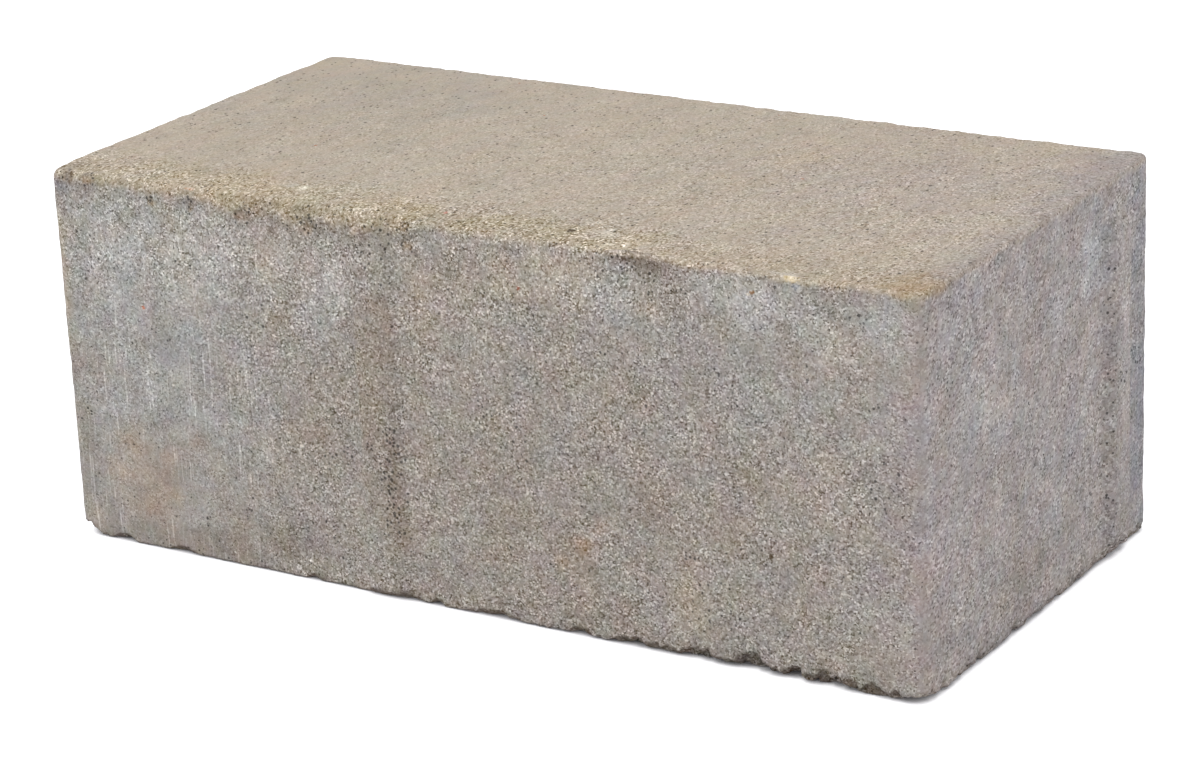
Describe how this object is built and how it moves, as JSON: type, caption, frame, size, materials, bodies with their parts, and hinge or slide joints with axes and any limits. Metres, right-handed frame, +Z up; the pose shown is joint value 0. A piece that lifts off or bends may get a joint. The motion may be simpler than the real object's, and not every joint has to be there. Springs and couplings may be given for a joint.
{
  "type": "concrete paving stone",
  "caption": "Rectangular grey concrete paving block with low upright spacer ribs on its sides, worn upper edges and chipped bed corners.",
  "frame": {"origin": "centre of the bed face, on the ground that the stone lies on", "axes": "+X along the length, +Y across the width towards the side that the picture hides, +Z up out of the wear face"},
  "size_m": [0.204, 0.104, 0.08],
  "materials": {
    "concrete": "matte, sandy cast concrete, beige on the wear face and grey on the sides"
  },
  "bodies": {
    "root": {"paving_stone": "concrete"}
  },
  "joints": []
}
